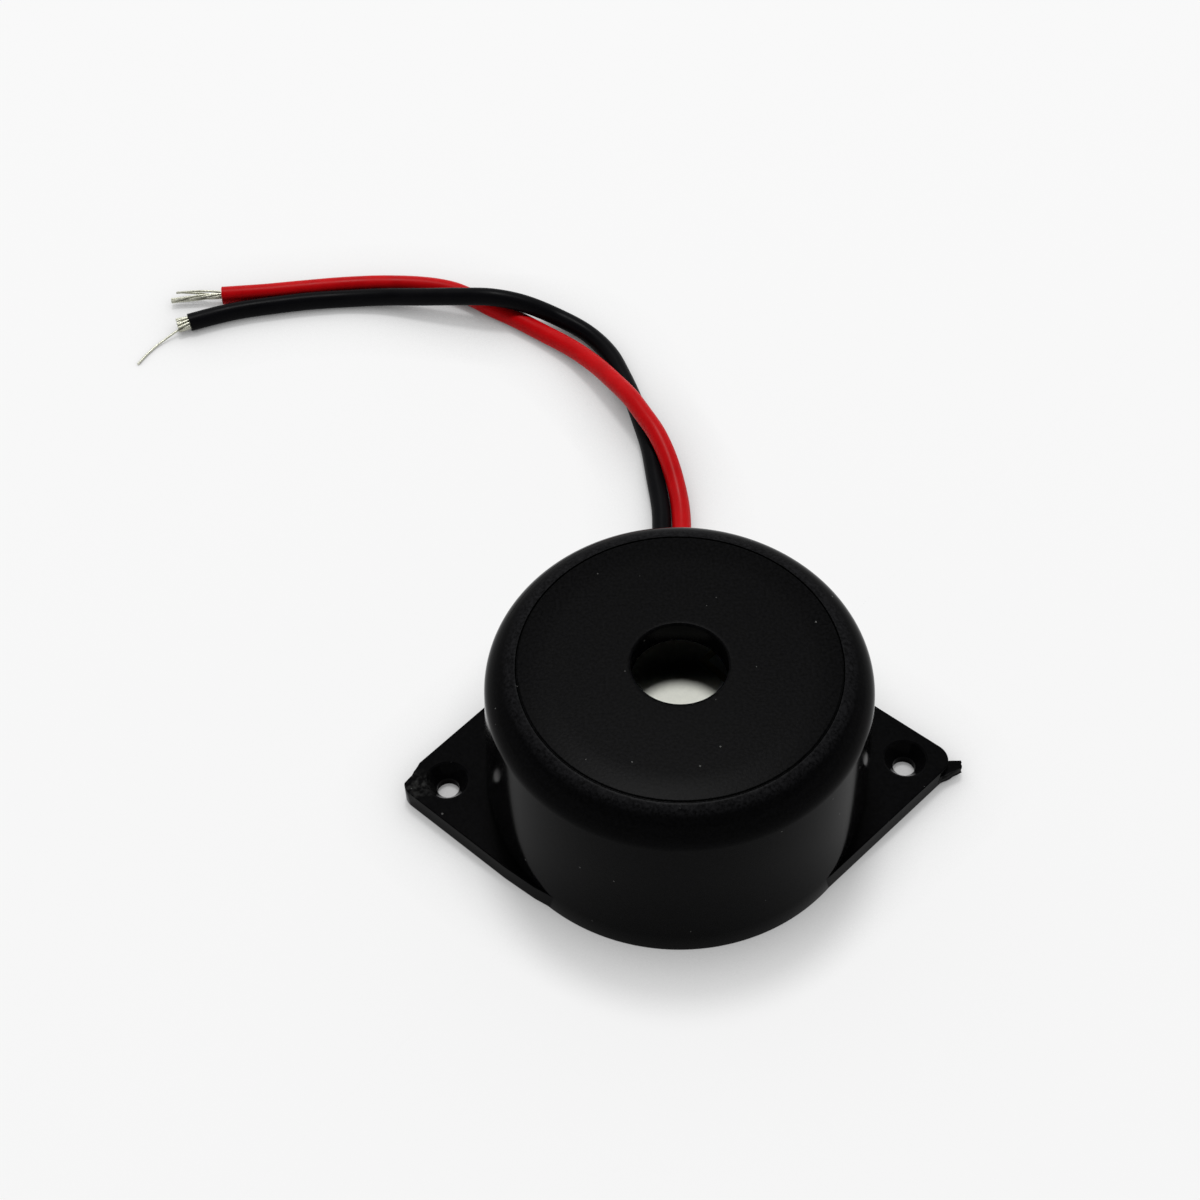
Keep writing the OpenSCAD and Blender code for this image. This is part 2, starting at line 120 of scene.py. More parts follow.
class CapSizes(bpy.types.PropertyGroup):
    """Sizes of the flat cap that lies in the housing's upper end"""
    top: length("Top", "Height of the top face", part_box("top_cap")[1][2])
    radius: length("Radius", "Outside radius of the cap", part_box("top_cap")[1][0])
    thick: length("Top thickness", "Thickness of the cap's top", 1.6 * MM)
    hole: length("Sound hole", "Radius of the sound hole", 3.0 * MM)
    hole_round: length("Hole rounding", "Radius of the sound hole's edge", 0.16 * MM)
    flat: length("Flat radius", "Radius of the flat top inside the groove", 9.99 * MM)
    groove_depth: length("Groove depth", "Depth of the groove round the flat top", 0.1 * MM)
    edge: length("Edge rounding", "Radius of the flat top's edge", 0.07 * MM)
    skirt: length("Skirt thickness", "Thickness of the skirt", 0.65 * MM)
    skirt_end: length("Skirt end", "Height of the skirt's lower end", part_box("top_cap")[0][2])
    slot: length("Slot width", "Width of the skirt's slot for the inner wires", 3.8 * MM)
    steps: IntProperty(name="Steps", description="Steps round the turn", default=256, min=32, max=512)


class HousingSizes(bpy.types.PropertyGroup):
    """Sizes of the moulded housing"""
    top: length("Top", "Height that the rounded upper edge reaches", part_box("top_cap")[1][2])
    wall: length("Wall radius", "Outside radius of the wall below its rounded edge", 12.1 * MM)
    foot: length("Foot radius", "Outside radius of the wall at the table", -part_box("base_housing")[0][1])
    rim_round: length("Rim rounding", "Radius of the wall's rounded upper edge", 2.35 * MM)
    lip_round: length("Lip rounding", "Radius of the wall's edge at the groove", 0.03 * MM)
    bore: length("Bore radius", "Inside radius of the round wall", 10.1 * MM)
    seat: length("Seat", "Height of the ledge that carries the plate", 8.4 * MM)
    ledge: length("Ledge radius", "Inside radius of the ledge", 9.0 * MM)
    ledge_thick: length("Ledge thickness", "Thickness of the ledge", 1.0 * MM)
    root: length("Ear root", "Radius inside the wall at which the ears' sides start", 12.345 * MM)
    ear_thick: length("Ear thickness", "Thickness of the ears", 1.5 * MM)
    edge: length("Edge rounding", "Width of the ears' softened edges", 0.08 * MM)
    foot_round: length("Foot rounding", "Radius of the wall's edge at the table", 0.04 * MM)
    tip: length("Tip place", "Distance of an ear tip's centre from the axis", 16.55 * MM)
    tip_radius: length("Tip radius", "Radius of an ear's tip", 1.27 * MM)
    hole_place: length("Hole place", "Distance of an ear hole from the axis", 15.0 * MM)
    hole: length("Hole radius", "Radius of an ear hole at the table", 0.74 * MM)
    sink: length("Sink radius", "Radius of an ear hole's countersink at the ear's upper face", 1.4 * MM)
    sink_depth: length("Sink depth", "Depth of an ear hole's countersink", 0.9 * MM)
    hole_round: length("Hole rounding", "Width of the softened edges of an ear hole", 0.05 * MM)
    rib: length("Rib width", "Width of the ribs that stop the board", 1.6 * MM)
    board_top: length("Board top", "Height of the board's upper face", 3.2 * MM)
    notch: length("Notch width", "Width of the notch for the leads", 3.1 * MM)
    notch_top: length("Notch top", "Height of the notch", 2.05 * MM)
    notch_round: length("Notch rounding", "Radius of the notch's upper corners", 0.25 * MM)
    channel: length("Channel width", "Width of the channel for the inner wires", 3.8 * MM)
    channel_wall: length("Channel wall", "Distance of the channel's outer side from the axis", 10.8 * MM)
    channel_floor: length("Channel floor", "Height of the channel's lower end", 6.0 * MM)
    channel_top: length("Channel top", "Height of the channel's upper end", 11.6 * MM)
    trim: length("Trim", "Distance of the trimmed face from the left tip's centre", 0.98 * MM)
    trim_angle: angle("Trim angle", "Direction that the trimmed face looks in", 149)
    steps: IntProperty(name="Steps", description="Steps round the turn", default=256, min=32, max=512)


class LeadSizes(bpy.types.PropertyGroup):
    """Sizes of the leads"""
    diameter: length("Diameter", "Outside diameter of a lead", 1.3 * MM)
    swell: share("Swell", "Share by which a lead is thicker outside the housing", 0.06)
    red_length: length("Red length", "Length of the red insulation", 62.4 * MM)
    black_length: length("Black length", "Length of the black insulation", 65.5 * MM)
    strand: length("Strand", "Diameter of one strand", 0.17 * MM)
    recess: length("Recess", "Radius of the hollow at a cut end", 0.42 * MM)
    recess_depth: length("Recess depth", "Depth of the hollow at a cut end", 0.7 * MM)
    cut_edge: length("Cut edge", "Width of the softened edge at a cut end", 0.05 * MM)
    swell_start: length("Swell start", "Distance from the axis at which a lead starts to swell", 13 * MM)
    swell_run: length("Swell run", "Distance over which a lead swells", 2 * MM)


class Finishes(bpy.types.PropertyGroup):
    """Colours of the finishes"""
    black: tint("Black plastic", "Moulded cap and housing", (0.0026, 0.0026, 0.0028))
    black_rough: share("Black roughness", "Roughness of the moulded black", 0.12)
    black_gloss: share("Black gloss", "Specular level of the moulded black", 0.014)
    red: tint("Red cover", "Insulation of the red lead", (0.5, 0.003, 0.005))
    dark_cover: tint("Black cover", "Insulation of the black lead", (0.0038, 0.0038, 0.0046))
    strands: tint("Strands", "Tinned copper strands", (0.62, 0.62, 0.52))
    silver: tint("Fired silver", "Pale face under the sound hole", (0.88, 0.89, 0.8))
    resin: tint("Resin", "Cast resin in the base", (0.006, 0.006, 0.007))


class StageValues(bpy.types.PropertyGroup):
    """Camera, floor and light"""
    camera: FloatVectorProperty(name="Camera", description="Place of the camera", size=3, unit="LENGTH",
                                subtype="TRANSLATION", default=(-0.007517, -0.079626, 0.12166), precision=6)
    yaw: angle("Yaw", "Turn of the camera", 1.949)
    pitch: angle("Pitch", "Downward tilt of the camera", 51.96)
    roll: angle("Roll", "Roll of the camera", -1.104)
    lens: FloatProperty(name="Lens", description="Focal length in millimetres", default=66.0)
    floor: tint("Floor", "Colour of the table", (0.9, 0.9, 0.9))
    white: share("White", "Share of the table's white that the lamp doesn't shade", 0.75)
    glow: share("Glow", "Strength of the table's own white", 0.96)
    # Reach of the painted shade that darkens the table's own white beside the part
    painted_shade_reach: length("Contact", "Distance over which the part dims the table", 5 * MM)
    key: FloatProperty(name="Key light", description="Power of the light above", default=3.1, unit="POWER")
    key_size: length("Key size", "Diameter of the light above", 0.15)
    key_distance: length("Key distance", "Distance of the light above from the part", 0.7)
    key_tilt: angle("Key tilt", "How far the light stands behind the vertical", 21)
    sky: FloatProperty(name="Sky", description="Strength of the light from the rear", default=0.84)
    belt: share("Belt", "Share of the rear's light that comes low from all round", 0.8)


def deselect():
    if bpy.context.object and bpy.context.object.mode != "OBJECT":
        bpy.ops.object.mode_set(mode="OBJECT")
    bpy.ops.object.select_all(action="DESELECT")


def pick(piece):
    deselect()
    piece.select_set(True)
    bpy.context.view_layer.objects.active = piece


def named(name):
    """Leave edit mode and name the new object."""
    bpy.ops.object.mode_set(mode="OBJECT")
    piece = bpy.context.object
    piece.name = piece.data.name = name
    return piece


def arc(centre, radius, start, end, steps):
    """Points of an arc in a half section, with angles in degrees."""
    turn = [math.radians(start + (end - start) * k / steps) for k in range(steps + 1)]
    return [(centre[0] + radius * math.cos(a), centre[1] + radius * math.sin(a)) for a in turn]


def clean_shell():
    """Merge doubled points of the mesh in edit mode and turn its faces outwards."""
    bpy.ops.mesh.select_all(action="SELECT")
    bpy.ops.mesh.remove_doubles(threshold=WELD)
    bpy.ops.mesh.normals_make_consistent(inside=False)


def lathe(name, section, steps):
    """Draw a closed half section of (radius, height) points and spin it about the Z axis."""
    deselect()
    bpy.ops.mesh.primitive_plane_add(size=MM, enter_editmode=True)
    bpy.ops.mesh.select_mode(type="VERT")
    bpy.ops.mesh.merge(type="CENTER")
    bpy.ops.transform.translate(value=(section[0][0], 0, section[0][1]))
    for (r0, z0), (r1, z1) in zip(section, section[1:] + section[:1]):
        bpy.ops.mesh.extrude_region_move(TRANSFORM_OT_translate={"value": (r1 - r0, 0, z1 - z0)})
    bpy.ops.mesh.select_all(action="SELECT")
    bpy.ops.mesh.remove_doubles(threshold=WELD)
    bpy.ops.mesh.spin(steps=steps, angle=2 * math.pi, center=(0, 0, 0), axis=(0, 0, 1))
    clean_shell()
    return named(name)


def block(name, low, high):
    """A box between two corners, left in edit mode for shaping."""
    deselect()
    low, high = Vector(low), Vector(high)
    bpy.ops.mesh.primitive_cube_add(size=1, enter_editmode=True)
    bpy.ops.mesh.select_mode(type="VERT")
    bpy.ops.transform.resize(value=high - low, center_override=(0, 0, 0))
    bpy.ops.transform.translate(value=(low + high) / 2)
    bpy.context.object.name = name
    return bpy.context.object


def select_edges(piece, wanted):
    """Select the edges of a mesh in edit mode that pass a test."""
    bpy.ops.mesh.select_mode(type="EDGE")
    bpy.ops.mesh.select_all(action="DESELECT")
    mesh = bmesh.from_edit_mesh(piece.data)
    for edge in mesh.edges:
        edge.select_set(wanted(edge))
    bmesh.update_edit_mesh(piece.data)


def select_faces(piece, wanted):
    """Select the faces of a mesh in edit mode that pass a test."""
    bpy.ops.mesh.select_mode(type="FACE")
    bpy.ops.mesh.select_all(action="DESELECT")
    mesh = bmesh.from_edit_mesh(piece.data)
    for face in mesh.faces:
        face.select_set(wanted(face))
    bmesh.update_edit_mesh(piece.data)


def combine(piece, tool, operation):
    """Cut a tool out of a piece, or weld it on, and delete the tool."""
    pick(piece)
    bpy.ops.object.modifier_add(type="BOOLEAN")
    step = piece.modifiers[-1]
    step.object, step.operation, step.solver = tool, operation, "MANIFOLD"
    bpy.ops.object.modifier_apply(modifier=step.name)
    bpy.data.objects.remove(tool, do_unlink=True)
    if not piece.data.polygons:
        raise RuntimeError(f"{piece.name} was lost in a {operation.lower()} step")


def smooth(piece, limit=30):
    """Shade a piece smooth apart from its sharp edges, with flat faces kept flat."""
    pick(piece)
    bpy.ops.object.shade_smooth_by_angle(angle=math.radians(limit))
    bpy.ops.object.modifier_add(type="WEIGHTED_NORMAL")
    piece.modifiers[-1].keep_sharp = True
    bpy.ops.object.modifier_apply(modifier=piece.modifiers[-1].name)


def dress(piece, finish, slot, *nodes):
    """Give a piece its finish and set it on the body in place of its CAD nodes."""
    piece.data.materials.clear()
    piece.data.materials.append(finish)
    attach(piece, "root")
    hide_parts(*nodes)


class Nodes:
    """Short ways to add, set and link the nodes of a tree."""

    def __init__(self, tree):
        self.tree = tree

    def set(self, node, sockets):
        for key, value in sockets.items():
            if isinstance(value, bpy.types.NodeSocket):
                self.tree.links.new(value, node.inputs[key])
            else:
                node.inputs[key].default_value = value

    def add(self, kind, sockets=None, **settings):
        node = self.tree.nodes.new("ShaderNode" + kind)
        for key, value in settings.items():
            setattr(node, key, value)
        self.set(node, sockets or {})
        return node

    def math(self, operation, first, second):
        return self.add("Math", {0: first, 1: second}, operation=operation).outputs[0]

    def spread(self, value, low, high, to_low, to_high):
        return self.add("MapRange", {"Value": value, "From Min": low, "From Max": high, "To Min": to_low,
                                     "To Max": to_high}).outputs["Result"]


class Finish(Nodes):
    """A node material on Object coordinates in millimetres."""

    def __init__(self, name, colour, rough, **sockets):
        self.material = bpy.data.materials.new(name)
        self.material.use_nodes = True
        super().__init__(self.material.node_tree)
        self.shader = self.tree.nodes["Principled BSDF"]
        self.set(self.shader, {"Base Color": (*colour, 1), "Roughness": rough, **sockets})
        place = self.add("TexCoord").outputs["Object"]
        self.place = self.add("Mapping", {"Vector": place, "Scale": (1 / MM,) * 3}).outputs["Vector"]

    def noise(self, scale, detail=2.0, rough=0.5):
        return self.add("TexNoise", {"Vector": self.place, "Scale": scale, "Detail": detail,
                                     "Roughness": rough}).outputs["Fac"]

    def blend(self, factor, first, second):
        node = self.add("Mix", data_type="RGBA")
        self.set(node, {0: factor, 6: first, 7: second})
        return node.outputs[2]

    def bump(self, height, strength, distance):
        node = self.add("Bump", {"Height": height, "Strength": strength, "Distance": distance})
        self.set(self.shader, {"Normal": node.outputs["Normal"]})


def shaded(colour, factor):
    return (*[part * factor for part in colour], 1)


def moulded_black(name, values, pale):
    """Black moulded plastic: smooth walls, sparse dust, a worn tip and a fine grain at the top; pale lightens
    the top's colour as painted sheen.
    """
    colour = values.black
    finish = Finish(name, colour, values.black_rough, **{"Specular IOR Level": values.black_gloss})
    height = finish.add("SeparateXYZ", {"Vector": finish.place}).outputs["Z"]
    upper = finish.spread(height, *GRAIN_AND_SHEEN_HEIGHTS, 0.0, 1.0)
    fine = finish.noise(5.0, 3.0, 0.6)
    grain = finish.spread(fine, 0.35, 0.65, 0, 1)
    smooth_black = finish.blend(grain, shaded(colour, 0.75), shaded(colour, 1.3))
    # The factor pale lightens the upper colour as painted sheen, standing in for the light the top reflects
    grain_with_painted_sheen = finish.blend(grain, shaded(colour, 0.4 * pale), shaded(colour, 1.5 * pale))
    base = finish.blend(upper, smooth_black, grain_with_painted_sheen)
    cells = finish.add("TexVoronoi", {"Vector": finish.place, "Scale": 1.5, "Randomness": 1.0})
    chance = finish.add("SeparateColor", {"Color": cells.outputs["Color"]}).outputs["Red"]
    reach = finish.spread(chance, 0.84, 1.0, 0.0, 0.11)
    speck = finish.math("LESS_THAN", cells.outputs["Distance"], reach)
    speck = finish.math("MULTIPLY", speck, 0.5)
    tip = finish.add("VectorMath", {0: finish.place, 1: WORN_TIP}, operation="DISTANCE").outputs["Value"]
    patchy = finish.spread(finish.noise(2.6, 2.0), 0.42, 0.7, 0.0, 1.0)
    worn = finish.math("MULTIPLY", finish.spread(tip, 0.3, 1.4, 1.0, 0.0), patchy)
    base = finish.blend(worn, base, WORN)
    finish.set(finish.shader, {
        "Base Color": finish.blend(speck, base, DUST),
        "Roughness": finish.spread(upper, 0.0, 1.0, values.black_rough, 0.33)})
    finish.bump(fine, finish.spread(upper, 0.0, 1.0, 0.05, 0.3), 0.02 * MM)
    return finish.material


def soft_cover(name, colour, rough, gloss=0.3):
    """Soft smooth insulation with faint drag marks and handling smears."""
    finish = Finish(name, colour, rough, **{"Specular IOR Level": gloss})
    smear = finish.noise(0.5, 4.0, 0.6)
    finish.set(finish.shader, {
        "Base Color": finish.blend(finish.spread(smear, 0.35, 0.7, 0, 1), shaded(colour, 0.9),
                                   shaded(colour, 1.08)),
        "Roughness": finish.spread(smear, 0.3, 0.7, rough - 0.06, rough + 0.1)})
    finish.bump(finish.noise(3.0, 3.0), 0.12, 0.03 * MM)
    return finish.material


def tinned(name, colour, rough):
    """Tinned copper or solder, dulled in patches."""
    finish = Finish(name, colour, rough, Metallic=0.85)
    patch = finish.noise(2.2, 3.0, 0.6)
    finish.set(finish.shader, {
        "Base Color": finish.blend(finish.spread(patch, 0.35, 0.7, 0, 1), shaded(colour, 0.8),
                                   shaded(colour, 1.1)),
        "Roughness": finish.spread(patch, 0.3, 0.7, rough - 0.08, rough + 0.12)})
    finish.bump(finish.noise(9.0, 2.0), 0.15, 0.02 * MM)
    return finish.material


def mottled(name, colour, rough, scale, depth, **sockets):
    """A matt finish with mottled colour: fired silver, ceramic, board paper or silicone."""
    finish = Finish(name, colour, rough, **sockets)
    spots = finish.noise(scale, 4.0, 0.65)
    finish.set(finish.shader, {
        "Base Color": finish.blend(finish.spread(spots, 0.3, 0.7, 0, 1), shaded(colour, 1 - depth),
                                   shaded(colour, 1 + depth / 2)),
        "Roughness": finish.spread(spots, 0.3, 0.7, rough - 0.05, rough + 0.08)})
    finish.bump(finish.noise(scale * 4, 2.0), 0.2, 0.02 * MM)
    return finish.material


def course(route, steps=6):
    """Points of a smooth curve through a route given in millimetres."""
    points = [Vector(p) * MM for p in route]
    ends = [2 * points[0] - points[1]] + points + [2 * points[-1] - points[-2]]
    line = []
    for a, b, c, d in zip(ends, ends[1:], ends[2:], ends[3:]):
        span = (c - b).length
        tangent_b = (c - a) * (span / ((c - b).length + (b - a).length))
        tangent_c = (d - b) * (span / ((c - b).length + (d - c).length))
        for k in range(steps):
            t = k / steps
            line.append(b * (2 * t**3 - 3 * t**2 + 1) + tangent_b * (t**3 - 2 * t**2 + t)
                        + c * (3 * t**2 - 2 * t**3) + tangent_c * (t**3 - t**2))
    return line + [points[-1]]


def tubes(name, lines, diameter, resolution, swell=lambda place: 1.0):
    """Round tubes along lines of points, as one closed mesh, with a width that may change along them."""
    deselect()
    curve = bpy.data.curves.new(name, "CURVE")
    curve.dimensions = "3D"
    curve.bevel_depth, curve.bevel_resolution, curve.use_fill_caps = diameter / 2, resolution, True
    for line in lines:
        spline = curve.splines.new("POLY")
        spline.points.add(len(line) - 1)
        for point, place in zip(spline.points, line):
            point.co = (*place, 1)
            point.radius = swell(place)
    piece = bpy.data.objects.new(name, curve)
    bpy.context.collection.objects.link(piece)
    pick(piece)
    bpy.ops.object.convert(target="MESH")
    bpy.ops.object.mode_set(mode="EDIT")
    clean_shell()
    return named(name)


def lead_cover(name, line, sizes):
    """Insulation swept along its line, with a cut and hollowed far end."""
    def swell(place):
        return 1 + sizes.swell * min(max((place.y - sizes.swell_start) / sizes.swell_run, 0), 1)

    piece = tubes(name, [line], sizes.diameter, 6, swell)
    bpy.ops.object.mode_set(mode="EDIT")
    end, back = line[-1], (line[-2] - line[-1]).normalized()
    select_faces(piece, lambda f: len(f.verts) > 6 and (f.calc_center_median() - end).length < 0.1 * MM)
    bpy.ops.mesh.inset(thickness=sizes.cut_edge)
    bpy.ops.transform.translate(value=back * -0.03 * MM)
    bpy.ops.mesh.inset(thickness=sizes.diameter / 2 - sizes.cut_edge - sizes.recess)
    bpy.ops.mesh.extrude_region_move(TRANSFORM_OT_translate={"value": back * sizes.recess_depth})
    clean_shell()
    bpy.ops.object.mode_set(mode="OBJECT")
    smooth(piece, 40)
    return piece


def bundle(line, count, radius, turns, splay):
    """Lines of strands that twist round a middle line and splay by a share of its length."""
    strands = []
    for k in range(count):
        strand = []
        for i, place in enumerate(line):
            ahead = (line[min(i + 1, len(line) - 1)] - line[max(i - 1, 0)]).normalized()
            side = ahead.cross(Vector((0, 0, 1))).normalized()
            t = i / (len(line) - 1)
            turn = 2 * math.pi * (k / count + turns * t)
            out = radius * splay(k, t)
            strand.append(place + out * (side * math.cos(turn) + side.cross(ahead) * math.sin(turn)))
        strands.append(strand)
    return strands


class BUZZER_OT_stage(bpy.types.Operator):
    """Set the camera, the pale table and the soft light"""
    bl_idname = "buzzer.stage"
    bl_label = "Stage"

    def execute(self, context):
        values = context.scene.buzzer_stage
        scene = context.scene
        scene.view_settings.view_transform = "Standard"
        yaw, pitch, roll = values.yaw, values.pitch, values.roll
        ahead = Vector((math.sin(yaw) * math.cos(pitch), math.cos(yaw) * math.cos(pitch), -math.sin(pitch)))
        right = Vector((math.cos(yaw), -math.sin(yaw), 0))
        up = right.cross(ahead)
        lean, rise = math.sin(roll), math.cos(roll)
        right, up = right * rise + up * lean, up * rise - right * lean
        deselect()
        bpy.ops.object.camera_add()
        camera = context.object
        camera.name = "camera"
        turn = Matrix((right, up, -ahead)).transposed().to_4x4()
        camera.matrix_world = Matrix.Translation(values.camera) @ turn
        camera.data.lens, camera.data.sensor_width = values.lens, 36.0
        camera.data.clip_start, camera.data.clip_end = 0.005, 20.0
        scene.camera = camera

        deselect()
        bpy.ops.mesh.primitive_plane_add(size=3.0, location=(0, 0, -0.02 * MM))
        table = context.object
        table.name = "table"
        table.data.materials.append(self.pale_table(values))

        tilt, away = -values.key_tilt, values.key_distance
        deselect()
        bpy.ops.object.light_add(type="AREA", location=(0, -away * math.sin(tilt), away * math.cos(tilt)),
                                 rotation=(tilt, 0, 0))
        lamp = context.object
        lamp.name = "key"
        lamp.data.shape, lamp.data.size, lamp.data.energy = "DISK", values.key_size, values.key

        scene.world = self.room_light(values)
        return {"FINISHED"}

    def pale_table(self, values):
        """A matt white, in part its own for the camera and for mirrored views, with painted shade darkening
        that own white beside the part and in its holes.
        """
        pale = bpy.data.materials.new("pale_table")
        pale.use_nodes = True
        nodes = Nodes(pale.node_tree)
        shader = nodes.tree.nodes["Principled BSDF"]
        nodes.set(shader, {"Base Color": (*values.floor, 1), "Roughness": 0.9, "Specular IOR Level": 0.0})
        rays = nodes.add("LightPath").outputs
        seen = nodes.math("MAXIMUM", rays["Is Camera Ray"], rays["Is Glossy Ray"])
        seen = nodes.math("MAXIMUM", seen, rays["Is Transmission Ray"])
        # Ambient occlusion darkens the table's own white beside the part and in its holes: painted shade
        near = nodes.add("AmbientOcclusion", {"Distance": values.painted_shade_reach}, samples=4)
        glow_under_painted_shade = nodes.math("MULTIPLY", near.outputs["AO"], values.glow)
        own = nodes.add("Emission", {"Strength": glow_under_painted_shade})
        mix = nodes.add("MixShader", {"Fac": nodes.math("MULTIPLY", seen, values.white),
                                      1: shader.outputs["BSDF"], 2: own.outputs["Emission"]})
        nodes.set(nodes.tree.nodes["Material Output"], {"Surface": mix.outputs["Shader"]})
        return pale

    def room_light(self, values):
        """Light that is bright towards the rear, weaker low all round, dark overhead and high in front."""
        world = bpy.data.worlds.new("room")
        world.use_nodes = True
        nodes = Nodes(world.node_tree)
        way = nodes.add("TexCoord").outputs["Generated"]
        parts = nodes.add("SeparateXYZ", {"Vector": way}).outputs
        rear = nodes.spread(parts["Y"], 0.14, 0.45, 0.0, values.sky)
        low = nodes.spread(parts["Z"], 0.36, 0.6, values.sky * values.belt, 0.0)
        nodes.set(nodes.tree.nodes["Background"], {"Color": (1, 1, 1, 1),
                                                   "Strength": nodes.math("MAXIMUM", rear, low)})
        return world


class BUZZER_OT_leads(bpy.types.Operator):
    """Lay the two leads with their bare strands"""
    bl_idname = "buzzer.leads"
    bl_label = "Leads"

    def execute(self, context):
        sizes, colours = context.scene.buzzer_leads, context.scene.buzzer_finishes
        bright = tinned("tinned_strands", colours.strands, 0.42)
        black_end = course(BLACK_END, 8)
        strands = {
            "red": bundle(course(RED_END, 8), 5, 0.17 * MM, 0.6, lambda k, t: 1.0 + 0.25 * t * (k % 3 - 1))
                   + bundle(course(RED_LOOSE, 8), 2, 0.09 * MM, 0.4, lambda k, t: 1.0 + 0.8 * t),
            "black": bundle(black_end, 12, 0.32 * MM, 0.1, lambda k, t: 1 + (0.45 + 0.15 * (k % 3)) * t)
                     + bundle(black_end, 7, 0.15 * MM, 0.1, lambda k, t: (1 + 0.6 * t) if k else 0.0)
                     + [course(STRAY, 6)],
        }
        for name, route, cut, side in (("red", RED_ROUTE, sizes.red_length, 1),
                                       ("black", BLACK_ROUTE, sizes.black_length, -1)):
            line = course(route)
            cover = lead_cover(f"{name}_lead_cover", line, sizes)
            colour, gloss = (colours.red, 0.06) if name == "red" else (colours.dark_cover, 0.03)
            insulation = soft_cover(f"{name}_insulation", colour, 0.34, gloss)
            dress(cover, insulation, f"{name}_cover", f"{name}_lead")
            tail = course([(TAIL_SIDE * side, y, z) for y, z in TAIL], 4)
            lines = strands[name] + bundle(tail, 7, 0.19 * MM, 0.3, lambda k, t: 1.0 if k else 0.0)
            wires = tubes(f"{name}_lead_strands", lines, sizes.strand, 2)
            smooth(wires, 50)
            dress(wires, bright, "solder", f"{name}_conductor")
            tuple(line[0])
            [tuple(p) for p in line]
        return {"FINISHED"}


class BUZZER_OT_cap(bpy.types.Operator):
    """Turn the flat cap with its sound hole, the step of the groove and the slotted skirt"""
    bl_idname = "buzzer.cap"
    bl_label = "Cap"

    def execute(self, context):
        s, colours = context.scene.buzzer_cap, context.scene.buzzer_finishes
        under, bed, soft = s.top - s.thick, s.top - s.groove_depth, 0.02 * MM
        section = (
            arc((s.hole + soft, under + soft), soft, 270, 180, 3)
            + arc((s.hole + s.hole_round, s.top - s.hole_round), s.hole_round, 180, 90, 6)
            + [(s.hole + 2 * s.hole_round, s.top), (s.flat * 0.8, s.top)]
            + arc((s.flat - s.edge, s.top - s.edge), s.edge, 90, 0, 4)
            + arc((s.flat + soft, bed + soft), soft, 180, 270, 3)
            + arc((s.radius - soft, bed - soft), soft, 90, 0, 3)
            + [(s.radius, s.skirt_end), (s.radius - s.skirt, s.skirt_end), (s.radius - s.skirt, under)])
        cap = lathe("moulded_cap", section, s.steps)
        block("slot", (-s.slot / 2, s.hole + MM, s.skirt_end - MM), (s.slot / 2, s.radius + MM, under))
        combine(cap, named("slot"), "DIFFERENCE")
        smooth(cap)
        dress(cap, moulded_black("cap_black", colours, pale=1.0), "black_housing", "top_cap")
        return {"FINISHED"}


